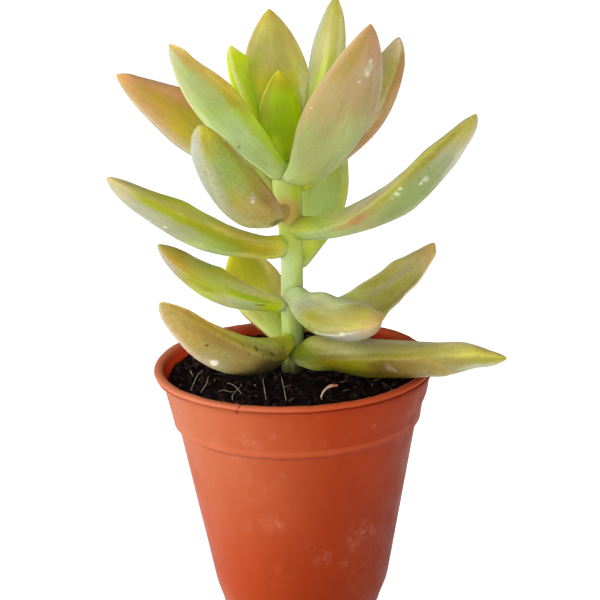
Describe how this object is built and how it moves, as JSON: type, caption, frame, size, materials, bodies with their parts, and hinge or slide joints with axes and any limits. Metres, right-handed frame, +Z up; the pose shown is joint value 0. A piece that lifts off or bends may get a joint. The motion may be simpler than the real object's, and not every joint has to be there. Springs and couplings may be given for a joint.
{
  "type": "potted sedum",
  "caption": "Small leafy sedum succulent with plump pointed leaves on an upright stem, growing in potting soil in a tapered round plastic nursery pot.",
  "frame": {"origin": "centre of the pot's flat underside", "axes": "+Z up along the pot's axis, -Y towards the viewer of the picture, +X to the viewer's right"},
  "size_m": [0.073, 0.0616, 0.1204],
  "materials": {
    "pot_plastic": "satin",
    "potting_soil": "matte",
    "stem_green": "satin",
    "leaf_green": "satin",
    "leaf_sun": "satin",
    "leaf_young": "satin",
    "dry_stalk": "matte"
  },
  "bodies": {
    "root": {"pot": "pot_plastic", "soil": "potting_soil", "stem": "stem_green", "leaf_01_low_right": "leaf_green", "leaf_02_low_back": "leaf_green", "leaf_03_low_left": "leaf_sun", "leaf_04_back_right": "leaf_green", "leaf_05_second_left": "leaf_green", "leaf_06_short_front": "leaf_green", "leaf_07_mid_back": "leaf_green", "leaf_08_long_left": "leaf_green", "leaf_09_long_right": "leaf_green", "leaf_10_stout_front": "leaf_sun", "leaf_11_far_left": "leaf_sun", "leaf_12_right_behind": "leaf_sun", "leaf_13_broad_right": "leaf_sun", "leaf_14_broad_left": "leaf_green", "leaf_15_crown_back": "leaf_green", "leaf_16_crown_right": "leaf_green", "leaf_17_young_left": "leaf_young", "leaf_18_young_centre": "leaf_young", "dry_stalk": "dry_stalk"}
  },
  "joints": []
}
